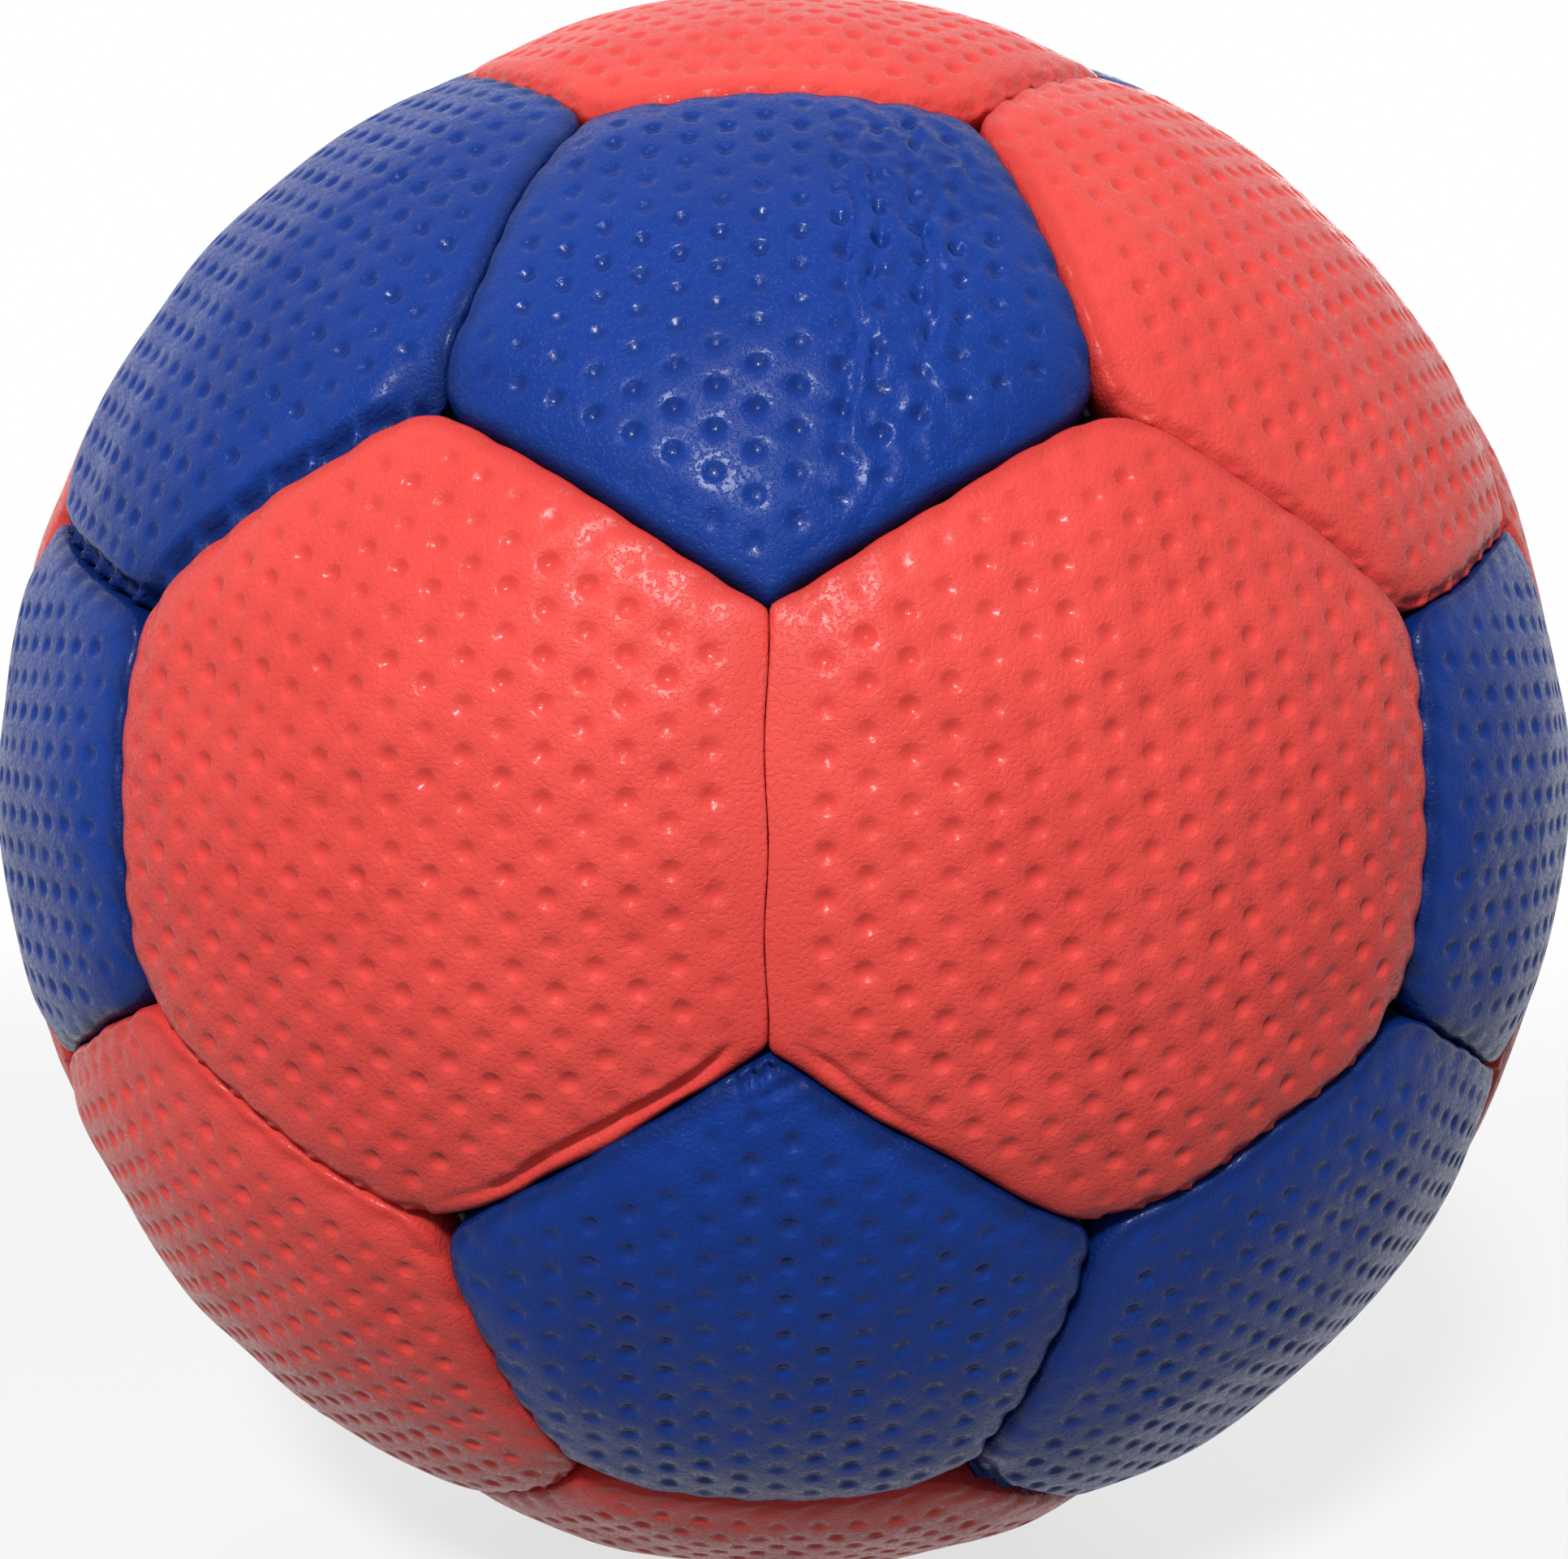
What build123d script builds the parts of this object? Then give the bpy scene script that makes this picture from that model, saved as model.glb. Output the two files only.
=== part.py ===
from build123d import *

import os
from itertools import combinations
from math import acos, asin, atan, cos, degrees, radians, sin, sqrt, tan

# A hand-stitched handball. Thirty-two padded panels, twelve five-sided and twenty six-sided, are sewn
# together inside out, turned, and closed over a rubber bladder with a needle valve.
# The centre of the ball is the origin, +Z is up, and -Y is the side that shows the seam
# between two red six-sided panels. Lengths are in millimetres.

# Driving dimensions of the ball and its layers
ball_diameter = 176.0  # over the crowns of the panels
crown_drop = 1.2  # how far a panel's crown falls below a true ball at its corners
cover_thickness = 2.6  # soft foamed cover in the middle of a panel
backing_thickness = 1.2  # woven plies glued to the back of the cover
glue_film = 0.05  # between two layers that are glued together
shoulder_radius = 3.6  # the cover's roll from the crown down into a seam
shoulder_crease = 5.0  # degrees, the faint line where the roll leaves the crown
corner_trim = 1.3  # how far a panel's corners are cut back
fold_thickness = 1.4  # the cover's edge where it is folded inward and sewn
fold_clearance = 0.3  # from the tips of the folded edges to the bladder
backing_clearance = 0.2  # from the backing's edge to the folded edge round it

# The sewing
thread_diameter = 0.9
thread_clearance = 0.1  # on each side of the thread, between two folded edges
stitch_height = 1.2  # of the thread above the tips of the folded edges

# The bladder and its valve
bladder_wall = 1.0
patch_radius = 21.0  # rubber patch that spreads the valve's pull over the bladder
patch_thickness = 0.8
foot_radius = 13.0  # the valve's round foot, glued to the patch
foot_thickness = 1.2
lining_clearance = 0.3  # from the valve's foot to the backing above it
boss_radius = 4.4  # the part of the valve that shows through the cover
boss_clearance = 0.3  # round the boss, in the cover and the backing
boss_chamfer = 0.4
valve_recess = 0.4  # of the boss below the panel's crown
stem_radius = 5.0  # the part of the valve inside the bladder
stem_length = 7.0
stem_clearance = 0.1  # round the stem, in the bladder and the patch
stem_lip = 1.2  # floor of the stem, which stops the core
core_radius = 2.4
core_clearance = 0.05  # round the core, in the housing
core_head_radius = 3.2
core_head_height = 1.4
needle_radius = 1.0  # the channel for an inflating needle
needle_funnel = 0.6  # widening of the channel's mouth
cut_overrun = 5.0  # how far a cutting tool runs past what it cuts

# The pattern of a ball with five-sided and six-sided panels of one edge length
golden = (1 + sqrt(5)) / 2
pentagon_sides = 5
hexagon_sides = 6
thread_sides = 6  # flats of the thread's section
half_share = 0.5  # a side faces halfway between two corners
junction_ratio = sqrt(58 + 18 * sqrt(5)) / 4  # centre of the ball to a corner, for an edge of 1
edge_arc = 2 * degrees(asin(1 / (2 * junction_ratio)))

# The radii that follow
ball_radius = ball_diameter / 2
seam_half_gap = thread_diameter / 2 + thread_clearance
pocket_inset = seam_half_gap + fold_thickness
backing_inset = pocket_inset + backing_clearance
valve_stack = glue_film + patch_thickness + glue_film + foot_thickness + lining_clearance
bladder_radius = ball_radius - crown_drop - cover_thickness - glue_film - backing_thickness - valve_stack
fold_tip_radius = bladder_radius + fold_clearance
thread_line_radius = fold_tip_radius + stitch_height
boss_hole_radius = boss_radius + boss_clearance


def corner_reach(sides):
    """Radius of the circle through the corners of a panel with an edge of 1."""
    return 1 / (2 * sin(radians(180 / sides)))


def seam_tilt(sides):
    """Angle between a panel's axis and the planes of its seams, which all hold the ball's centre."""
    reach = corner_reach(sides)
    return atan(reach * cos(radians(180 / sides)) / sqrt(junction_ratio**2 - reach**2))


def crown_rise(sides):
    """How far above the ball's centre the centre of a panel's crown lies, from the drop at its corners."""
    corner_height = sqrt(1 - (corner_reach(sides) / junction_ratio) ** 2)
    low = ball_radius - crown_drop
    return (ball_radius**2 - low**2) / (2 * (ball_radius - low * corner_height))


def seam_normals(sides):
    """Outward normals of the seam planes round a panel on +Z that has a corner towards +X."""
    tilt = seam_tilt(sides)
    for side in range(sides):
        turn = radians(360 * (side + half_share) / sides)
        yield Vector(cos(turn) * cos(tilt), sin(turn) * cos(tilt), -sin(tilt))


def corner_cone(sides, height, inset):
    """Radius, at a height above the ball's centre, of the cone that trims a panel's corners."""
    half_corner = radians(180 / sides)
    corner_tilt = atan(tan(seam_tilt(sides)) / cos(half_corner))
    return height * tan(corner_tilt) - (inset / cos(half_corner) + corner_trim) / cos(corner_tilt)


wedge_top = ball_radius + cut_overrun
wedge_bottom = fold_tip_radius * cos(radians(edge_arc)) - cut_overrun


def wedge(sides, inset):
    """The slice of the ball under one panel, taken in from its seams, with trimmed corners."""
    with BuildPart() as slice_of_ball:
        with Locations((0, 0, wedge_bottom)):
            Cone(
                corner_cone(sides, wedge_bottom, inset),
                corner_cone(sides, wedge_top, inset),
                wedge_top - wedge_bottom,
                align=(Align.CENTER, Align.CENTER, Align.MIN),
            )
        for outward in seam_normals(sides):
            split(bisect_by=Plane(origin=outward * -inset, z_dir=outward), keep=Keep.BOTTOM)
    return slice_of_ball.part


def seam_cutter(sides):
    """What is cut away beyond a seam square to +Z, with the crown's centre at 0: it leaves a rolled edge."""
    rise = crown_rise(sides)
    crown = ball_radius - rise
    outside = crown + cut_overrun
    seam_height = rise * sin(seam_tilt(sides)) - seam_half_gap
    far_height = seam_height + ball_radius
    roll_height = seam_height - shoulder_radius
    crease = radians(shoulder_crease)
    roll_reach = sqrt(crown**2 + shoulder_radius**2 - 2 * crown * shoulder_radius * cos(crease))
    roll_centre = (sqrt(roll_reach**2 - roll_height**2), roll_height)
    crease_turn = asin(roll_height / roll_reach) + asin(shoulder_radius * sin(crease) / crown)
    roll_arc = 90 - degrees(crease_turn + crease)
    with BuildPart() as cutter:
        with BuildSketch(Plane.XZ):
            with BuildLine():
                roll = CenterArc(roll_centre, shoulder_radius, 90, -roll_arc)
                Polyline(
                    roll @ 1,
                    (outside, (roll @ 1).Y),
                    (outside, far_height),
                    (0, far_height),
                    (0, seam_height),
                    roll @ 0,
                )
            make_face()
        revolve(axis=Axis.Z)
    return cutter.part


def rolled_corners(sides):
    """A round slice of the ball under a panel's crown, which trims and rolls over all its corners."""
    rise = crown_rise(sides)
    bottom_corner = (corner_cone(sides, wedge_bottom, seam_half_gap), wedge_bottom)
    top_corner = (corner_cone(sides, wedge_top, seam_half_gap), wedge_top)
    with BuildPart() as barrel:
        with BuildSketch(Plane.XZ) as section:
            with BuildLine():
                Polyline((0, wedge_bottom), bottom_corner, top_corner, (0, wedge_top), close=True)
            make_face()
            with Locations((0, rise)):
                Circle(ball_radius - rise, mode=Mode.INTERSECT)
            fillet(section.vertices().sort_by(Axis.X)[-1], shoulder_radius)
        revolve(axis=Axis.Z)
    return barrel.part


def cover_panel(sides):
    """A cover panel on +Z: crown, rolled shoulders, and the folded edge that is sewn to its neighbours."""
    rise = crown_rise(sides)
    down = Vector(0, 0, -1)
    cutter = seam_cutter(sides)
    with BuildPart() as pocket:
        add(wedge(sides, pocket_inset))
        with Locations((0, 0, rise)):
            Sphere(ball_radius - rise - cover_thickness, mode=Mode.INTERSECT)
    with BuildPart() as panel:
        add(rolled_corners(sides))
        for outward in seam_normals(sides):
            seam = Plane(origin=(0, 0, rise), x_dir=down - outward * outward.dot(down), z_dir=outward)
            add(cutter.moved(seam.location), mode=Mode.SUBTRACT)
        Sphere(fold_tip_radius, mode=Mode.SUBTRACT)
        add(pocket.part, mode=Mode.SUBTRACT)
    return panel.part


def backing_ply(sides):
    """The woven backing on +Z, glued inside the pocket of a cover panel."""
    rise = crown_rise(sides)
    outside = ball_radius - rise - cover_thickness - glue_film
    with BuildPart() as ply:
        add(wedge(sides, backing_inset))
        with Locations((0, 0, rise)):
            Sphere(outside, mode=Mode.INTERSECT)
            Sphere(outside - backing_thickness, mode=Mode.SUBTRACT)
    return ply.part


# Where the panels, seams and valve lie
def turned(a, b, c):
    """A direction and the two others that its numbers make when they change places in turn."""
    return [Vector(a, b, c), Vector(c, a, b), Vector(b, c, a)]


signs = (1, -1)
pentagon_axes = [axis for s in signs for t in signs for axis in turned(0, s * golden, t)]
neighbours = [pair for pair in combinations(pentagon_axes, 2) if (pair[0] - pair[1]).length < golden**2]
neighbour_of = {
    tuple(axis): [other for other in pentagon_axes if 0 < (axis - other).length < golden**2]
    for axis in pentagon_axes
}


def junction(near, far):
    """Direction of the corner where three panels meet, a third of the way between two five-sided panels."""
    return (near * 2 + far).normalized()


def panel_plane(axis, corner):
    """The plane through the ball's centre, square to a panel's axis, with a corner towards its X axis."""
    upward = axis.normalized()
    return Plane(origin=(0, 0, 0), x_dir=corner - upward * corner.dot(upward), z_dir=upward)


pentagon_planes = [
    panel_plane(axis, junction(axis, neighbour_of[tuple(axis)][0]))
    for axis in pentagon_axes
]
hexagon_planes = [
    panel_plane(a + b + c, junction(a, b))
    for a, b, c in combinations(pentagon_axes, 3)
    if all((p - q).length < golden**2 for p, q in ((a, b), (b, c), (c, a)))
]


def is_blue(plane):
    """Whether a six-sided panel is one of the four blue ones, which face every second corner of a cube."""
    x, y, z = plane.z_dir
    return x * y * z > 0


def from_top(plane):
    """Sorting key that numbers the panels from the top of the ball down, then round it."""
    x, y, z = (round(number, 3) for number in plane.z_dir)
    return -z, y, x


def from_back(plane):
    """Sorting key that ends with the six-sided panel furthest back, and to the right of its twin."""
    return round(plane.z_dir.Y, 3), plane.z_dir.X


valve_plane = max(hexagon_planes, key=from_back)


# The cover: one node for each panel
def boss_hole(plane):
    """A hole for the valve's boss, on a panel's axis, cut from the part that is being built."""
    with Locations(plane.offset(bladder_radius).location):
        Cylinder(
            boss_hole_radius,
            ball_radius - bladder_radius + cut_overrun,
            align=(Align.CENTER, Align.CENTER, Align.MIN),
            mode=Mode.SUBTRACT,
        )


covers = {sides: cover_panel(sides) for sides in (pentagon_sides, hexagon_sides)}
backings = {sides: backing_ply(sides) for sides in (pentagon_sides, hexagon_sides)}
os.makedirs("parts", exist_ok=True)
panel_groups = {
    "blue_pentagon_panel": (pentagon_sides, pentagon_planes),
    "blue_hexagon_panel": (hexagon_sides, [plane for plane in hexagon_planes if is_blue(plane)]),
    "red_hexagon_panel": (hexagon_sides, [plane for plane in hexagon_planes if not is_blue(plane)]),
}
for name, (sides, planes) in panel_groups.items():
    for number, plane in enumerate(sorted(planes, key=from_top), start=1):
        with BuildPart() as panel:
            add(covers[sides].moved(plane.location))
            if plane is valve_plane:
                boss_hole(plane)
        panel.part.label = f"{name}_{number:02d}"
        export_step(panel.part, f"parts/{panel.part.label}.step")

# The backing: one node for the five-sided plies and one for the six-sided plies
for name, sides, planes in (
    ("pentagon_backings", pentagon_sides, pentagon_planes),
    ("hexagon_backings", hexagon_sides, hexagon_planes),
):
    with BuildPart() as plies:
        for plane in planes:
            add(backings[sides].moved(plane.location))
        if valve_plane in planes:
            boss_hole(valve_plane)
    plies.part.label = name
    export_step(plies.part, f"parts/{name}.step")

# The thread: one strand along each seam, between the two folded edges
strand_trim = degrees(thread_diameter / thread_line_radius)
with BuildPart() as strand:
    with BuildSketch(Plane.XZ):
        with Locations((thread_line_radius, 0)):
            RegularPolygon(thread_diameter / 2, thread_sides, major_radius=False)
    revolve(axis=Axis.Z, revolution_arc=edge_arc - 2 * strand_trim)

seams = [(junction(a, b), junction(b, a)) for a, b in neighbours]
for axis in pentagon_axes:
    around = [pair for pair in combinations(neighbour_of[tuple(axis)], 2) if pair in neighbours]
    seams += [(junction(axis, a), junction(axis, b)) for a, b in around]
with BuildPart() as seam_thread:
    for start, end in seams:
        seam_plane = Plane(origin=(0, 0, 0), x_dir=start, z_dir=start.cross(end))
        add(strand.part.moved(seam_plane.location * Location((0, 0, 0), (0, 0, strand_trim))))
seam_thread.part.label = "seam_thread"
export_step(seam_thread.part, "parts/seam_thread.step")


# The bladder and its valve, made on +Z and set on the axis of the valve's panel
def on_sphere(radius, reach):
    """The point of a section at a distance from the axis, on a sphere about the ball's centre."""
    return reach, sqrt(radius**2 - reach**2)


def sphere_arc(radius, inner, outer):
    """The arc of a section along a sphere about the ball's centre, between two distances from the axis."""
    start, end = (degrees(acos(reach / radius)) for reach in (outer, inner))
    return CenterArc((0, 0), radius, start, end - start)


stem_hole_radius = stem_radius + stem_clearance
patch_inside = bladder_radius + glue_film
patch_outside = patch_inside + patch_thickness
foot_inside = patch_outside + glue_film
foot_outside = foot_inside + foot_thickness
boss_face = ball_radius - valve_recess
stem_end = bladder_radius - bladder_wall - stem_length
core_end = stem_end + stem_lip
core_bore_radius = core_radius + core_clearance
head_bore_radius = core_head_radius + core_clearance
head_seat = boss_face - core_head_height

with BuildPart() as bladder:
    Sphere(bladder_radius)
    Sphere(bladder_radius - bladder_wall, mode=Mode.SUBTRACT)
    with Locations((0, 0, stem_end)):
        Cylinder(
            stem_hole_radius,
            bladder_radius - stem_end + cut_overrun,
            align=(Align.CENTER, Align.CENTER, Align.MIN),
            mode=Mode.SUBTRACT,
        )

with BuildPart() as valve_patch:
    with BuildSketch(Plane.XZ):
        with BuildLine():
            sphere_arc(patch_inside, stem_hole_radius, patch_radius)
            Line(on_sphere(patch_inside, patch_radius), on_sphere(patch_outside, patch_radius))
            sphere_arc(patch_outside, stem_hole_radius, patch_radius)
            Line(on_sphere(patch_outside, stem_hole_radius), on_sphere(patch_inside, stem_hole_radius))
        make_face()
    revolve(axis=Axis.Z)

with BuildPart() as valve_housing:
    with BuildSketch(Plane.XZ):
        with BuildLine():
            Polyline(
                (core_bore_radius, head_seat),
                (core_bore_radius, core_end),
                (needle_radius + core_clearance, core_end),
                (needle_radius + core_clearance, stem_end),
                (stem_radius - boss_chamfer, stem_end),
                (stem_radius, stem_end + boss_chamfer),
                on_sphere(foot_inside, stem_radius),
            )
            sphere_arc(foot_inside, stem_radius, foot_radius)
            Line(on_sphere(foot_inside, foot_radius), on_sphere(foot_outside, foot_radius))
            sphere_arc(foot_outside, boss_radius, foot_radius)
            Polyline(
                on_sphere(foot_outside, boss_radius),
                (boss_radius, boss_face - boss_chamfer),
                (boss_radius - boss_chamfer, boss_face),
                (head_bore_radius, boss_face),
                (head_bore_radius, head_seat),
                (core_bore_radius, head_seat),
            )
        make_face()
    revolve(axis=Axis.Z)

with BuildPart() as valve_core:
    with BuildSketch(Plane.XZ):
        with BuildLine():
            Polyline(
                (needle_radius, core_end),
                (core_radius, core_end),
                (core_radius, head_seat),
                (core_head_radius, head_seat),
                (core_head_radius, boss_face),
                (needle_radius + needle_funnel, boss_face),
                (needle_radius, boss_face - needle_funnel),
                (needle_radius, core_end),
            )
        make_face()
    revolve(axis=Axis.Z)

for name, piece in (
    ("bladder", bladder),
    ("valve_patch", valve_patch),
    ("valve_housing", valve_housing),
    ("valve_core", valve_core),
):
    with BuildPart() as placed:
        add(piece.part.moved(valve_plane.location))
    placed.part.label = name
    export_step(placed.part, f"parts/{name}.step")

print(f"ball radius {ball_radius:.2f}, folded edges to {fold_tip_radius:.2f}, bladder {bladder_radius:.2f}")
print(f"{len(pentagon_planes)} five-sided and {len(hexagon_planes)} six-sided panels, {len(seams)} seams")
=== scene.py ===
# %% [markdown]
# # A hand-stitched handball
# The part's solids say where each panel, seam and valve piece lies. This lesson dresses them with
# a soft dimpled cover, thread, cloth and rubber, and aims a camera at the ball from the front. The
# solids stay as they are, so the first step is to load them and to keep their box.

from itertools import combinations
from math import asin, atan, cos, degrees, pi, radians, sin, sqrt
from types import SimpleNamespace

import bpy
import numpy as np
from mathutils import Euler, Matrix, Vector
from mathutils.geometry import delaunay_2d_cdt


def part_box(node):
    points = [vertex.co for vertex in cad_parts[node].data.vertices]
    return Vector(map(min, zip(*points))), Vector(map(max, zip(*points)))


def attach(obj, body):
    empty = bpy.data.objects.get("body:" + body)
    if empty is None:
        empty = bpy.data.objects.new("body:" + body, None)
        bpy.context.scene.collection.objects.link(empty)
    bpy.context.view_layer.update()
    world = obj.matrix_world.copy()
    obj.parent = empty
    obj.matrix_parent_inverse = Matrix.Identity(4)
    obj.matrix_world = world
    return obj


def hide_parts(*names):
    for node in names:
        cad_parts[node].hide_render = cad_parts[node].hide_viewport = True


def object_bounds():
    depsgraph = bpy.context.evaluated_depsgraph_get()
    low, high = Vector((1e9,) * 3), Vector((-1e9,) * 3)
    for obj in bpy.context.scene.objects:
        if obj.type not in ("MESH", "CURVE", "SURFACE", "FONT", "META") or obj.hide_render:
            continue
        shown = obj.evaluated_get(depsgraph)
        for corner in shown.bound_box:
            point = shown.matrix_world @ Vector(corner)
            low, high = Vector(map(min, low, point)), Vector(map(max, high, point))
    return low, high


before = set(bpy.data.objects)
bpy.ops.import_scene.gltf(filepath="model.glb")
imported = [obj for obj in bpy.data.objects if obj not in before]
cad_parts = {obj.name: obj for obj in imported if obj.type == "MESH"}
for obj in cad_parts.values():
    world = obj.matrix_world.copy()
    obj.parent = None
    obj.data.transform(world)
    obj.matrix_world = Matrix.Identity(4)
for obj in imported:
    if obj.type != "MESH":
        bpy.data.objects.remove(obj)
cad_box = [list(corner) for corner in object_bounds()]
print(f"{len(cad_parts)} solids, box from {cad_box[0]} to {cad_box[1]} m")

# %% [markdown]
# ## The camera
# The photograph looks straight at the seam between two red panels from quite near, so the panels
# at the rim are squeezed. A camera that is further away with a longer lens would show more of the
# sides. Here the distance and the small tilt of the ball come from the places of the seam corners
# in the picture. Lengths below are in millimetres, and Blender's in metres.

# %% Set up the camera
MM = 0.001
photo_width = 1932  # pixels
focal_pixels = 2470
camera_distance = 240.5
ball_tilt = Euler((radians(2.81), radians(-0.96), radians(-0.24)), "XYZ").to_matrix()
view_to_ball = Matrix(((1, 0, 0), (0, 0, -1), (0, 1, 0))) @ ball_tilt.transposed()

camera_data = bpy.data.cameras.new("camera")
camera_data.sensor_fit = "HORIZONTAL"
camera_data.sensor_width = 36
camera_data.lens = focal_pixels * camera_data.sensor_width / photo_width
camera_data.clip_start = 0.01
camera = bpy.data.objects.new("camera", camera_data)
bpy.context.scene.collection.objects.link(camera)
eye = view_to_ball @ Vector((0, 0, camera_distance * MM))
camera.matrix_world = Matrix.LocRotScale(eye, view_to_ball.to_quaternion(), None)
bpy.context.scene.camera = camera
bpy.context.scene.view_settings.view_transform = "Standard"
print(f"camera {camera_distance} mm from the ball's centre, lens {camera_data.lens:.1f} mm")

# %% [markdown]
# ## Light
# A small bright lamp above the camera, a little to its left, makes the speckled highlight on the
# top panel. A ring of lamps would flatten the dimples. A wide weak lamp fills the front, and one
# behind the ball lights its back, which the camera doesn't see.

# %% Soft lamps
def lamp(name, azimuth, elevation, distance, size, level):
    """A round lamp aimed at the ball. A white sheet that faces it there renders at about level."""
    data = bpy.data.lights.new(name, "AREA")
    data.shape = "DISK"
    data.size = size
    data.energy = level * pi**2 * distance**2
    a, e = radians(azimuth), radians(elevation)
    towards = Vector((sin(a) * cos(e), -cos(a) * cos(e), sin(e)))
    made = bpy.data.objects.new(name, data)
    made.location = towards * distance
    made.rotation_euler = towards.to_track_quat("Z", "Y").to_euler()
    bpy.context.scene.collection.objects.link(made)
    print(f"{name}: {data.energy:.1f} W at {distance} m")


lamp("key_lamp", azimuth=-9, elevation=36, distance=0.95, size=0.15, level=0.88)
lamp("front_lamp", azimuth=-10, elevation=12, distance=1.4, size=1.2, level=0.21)
lamp("back_lamp", azimuth=172, elevation=10, distance=1.4, size=0.9, level=0.55)

# %% [markdown]
# ## Writing shader maths as Python
# A material is a tree of nodes, and a sum of three values already takes two of them. The class
# below wraps the output of a node, so that `1 - mask * 0.3` adds the nodes by itself. Its one
# method `node` makes any other node. Colours are mixed with Mix nodes, because a Math node would
# turn them grey.

# %% A wrapped node output
class Signal:
    """An output in a material's node tree. Sums on it add Math nodes."""

    def __init__(self, tree, socket=None):
        self.tree = tree
        self.socket = socket

    def node(self, kind, settings=None, inputs=None, output=0):
        """Adds a node, sets its settings, then its inputs, and gives one of its outputs."""
        made = self.tree.nodes.new(kind)
        for name, value in (settings or {}).items():
            setattr(made, name, value)
        for name, value in (inputs or {}).items():
            if isinstance(value, Signal):
                self.tree.links.new(value.socket, made.inputs[name])
            else:
                made.inputs[name].default_value = value
        return Signal(self.tree, made.outputs[output])

    def maths(self, operation, first, second):
        return self.node("ShaderNodeMath", {"operation": operation}, {0: first, 1: second})

    def __add__(self, other):
        return self.maths("ADD", self, other)

    def __sub__(self, other):
        return self.maths("SUBTRACT", self, other)

    def __rsub__(self, other):
        return self.maths("SUBTRACT", other, self)

    def __mul__(self, other):
        return self.maths("MULTIPLY", self, other)

    __radd__ = __add__
    __rmul__ = __mul__

    def step(self, low, high):
        """0 below low, 1 above high, and smooth between them."""
        inputs = {"Value": self, "From Min": low, "From Max": high}
        return self.node("ShaderNodeMapRange", {"interpolation_type": "SMOOTHSTEP"}, inputs)

    def mix(self, first, second):
        """The first colour where this signal is 0 and the second where it is 1."""
        return self.node("ShaderNodeMix", {"data_type": "RGBA"}, {0: self, 6: first, 7: second}, 2)


# %% Colours and materials
def paint(red, green, blue):
    """A colour as a paint program names it, from 0 to 255, in the numbers that a shader takes."""
    parts = [part / 255 for part in (red, green, blue)]
    return tuple(p / 12.92 if p < 0.04045 else ((p + 0.055) / 1.055) ** 2.4 for p in parts) + (1.0,)


def new_material(name):
    """A material with its node tree, its main shader and a start for its signals."""
    made = bpy.data.materials.new(name)
    made.use_nodes = True
    return made, made.node_tree.nodes["Principled BSDF"], Signal(made.node_tree)


def plug(node, **inputs):
    """Links signals, or sets constants, on the sockets of a node that is there."""
    for name, value in inputs.items():
        socket = node.inputs[name.replace("_", " ")]
        if isinstance(value, Signal):
            value.tree.links.new(value.socket, socket)
        else:
            socket.default_value = value


print(f"middle grey is {paint(128, 128, 128)[0]:.3f} to a shader")

# %% [markdown]
# ## Floor and background
# The ball stands on a pale floor in front of a white background. If the white floor lit the ball
# from below, the lower panels would lose their depth. So the floor is pale for the camera and for
# gloss, and darker for the light that it throws back. Further off it glows a little more, until it
# is as white as the background.

# %% The floor
bounced = paint(84, 84, 84)  # the floor as the ball's shaded side is lit by it
near_glow, far_glow = 0.72, 0.28  # share of glow at the ball, and what is added far away
glow_from, glow_to = 0.15, 0.7  # metres from the ball


def rays_that_see(start):
    """1 for rays from the camera, and for those that show in gloss or glass."""
    kinds = ("Camera", "Glossy", "Transmission")
    rays = [start.node("ShaderNodeLightPath", output=f"Is {kind} Ray") for kind in kinds]
    return rays[0] + rays[1] + rays[2]


floor_material, floor_shader, start = new_material("pale_floor")
cloudy = start.node("ShaderNodeTexNoise", inputs={"Scale": 6.0, "Detail": 2.0})
plug(floor_shader, Base_Color=cloudy.mix(paint(250, 250, 250), paint(246, 246, 246)), Roughness=0.7)
dull = start.node("ShaderNodeBsdfDiffuse", inputs={"Color": bounced})
white = {"Color": paint(255, 255, 255), "Strength": 1.0}
glow = start.node("ShaderNodeEmission", inputs=white)
place = start.node("ShaderNodeTexCoord", output="Object")
away = start.node("ShaderNodeVectorMath", {"operation": "LENGTH"}, {0: place}, output="Value")
share = near_glow + away.step(glow_from, glow_to) * far_glow
sheet = Signal(floor_material.node_tree, floor_shader.outputs[0])
shown = start.node("ShaderNodeMixShader", inputs={0: share, 1: sheet, 2: glow})
floor_mix = start.node("ShaderNodeMixShader", inputs={0: rays_that_see(start), 1: dull, 2: shown})
plug(floor_material.node_tree.nodes["Material Output"], Surface=floor_mix)

bpy.ops.mesh.primitive_grid_add(
    x_subdivisions=8, y_subdivisions=8, size=6, location=(0, 0, cad_box[0][2])
)
floor = bpy.context.object
floor.name = "floor"
floor.data.materials.append(floor_material)
print(f"floor at {cad_box[0][2] / MM:.1f} mm")

# %% The background
room_light = {"Color": paint(215, 218, 225), "Strength": 0.1}

world = bpy.data.worlds.new("studio")
bpy.context.scene.world = world
world.use_nodes = True
sky = Signal(world.node_tree)
room = sky.node("ShaderNodeBackground", inputs=room_light)
backdrop = sky.node("ShaderNodeBackground", inputs=white)
sky_mix = sky.node("ShaderNodeMixShader", inputs={0: rays_that_see(sky), 1: room, 2: backdrop})
plug(world.node_tree.nodes["World Output"], Surface=sky_mix)
print(f"room light {room_light['Strength']}, background {white['Strength']}")

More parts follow.
